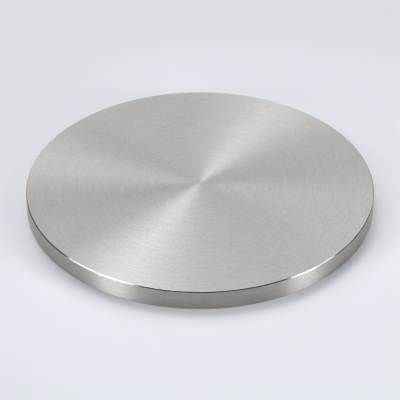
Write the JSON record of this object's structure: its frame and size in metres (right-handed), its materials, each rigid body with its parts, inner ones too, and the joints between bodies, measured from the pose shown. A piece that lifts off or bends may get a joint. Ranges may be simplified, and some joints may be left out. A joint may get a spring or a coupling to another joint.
{
  "type": "sputtering target",
  "caption": "Flat round solid metal sputtering target with a turned face, plain rim and small chamfered edges.",
  "frame": {"origin": "centre of the back face", "axes": "+Z along the disc's axis, out of the front (sputtered) face; the disc is round, so X and Y are free"},
  "size_m": [0.1016, 0.1016, 0.006],
  "materials": {
    "turned_metal": "fine concentric turned grain on both faces, fine grain round the rim"
  },
  "bodies": {
    "root": {"target_disc": "turned_metal"}
  },
  "joints": []
}
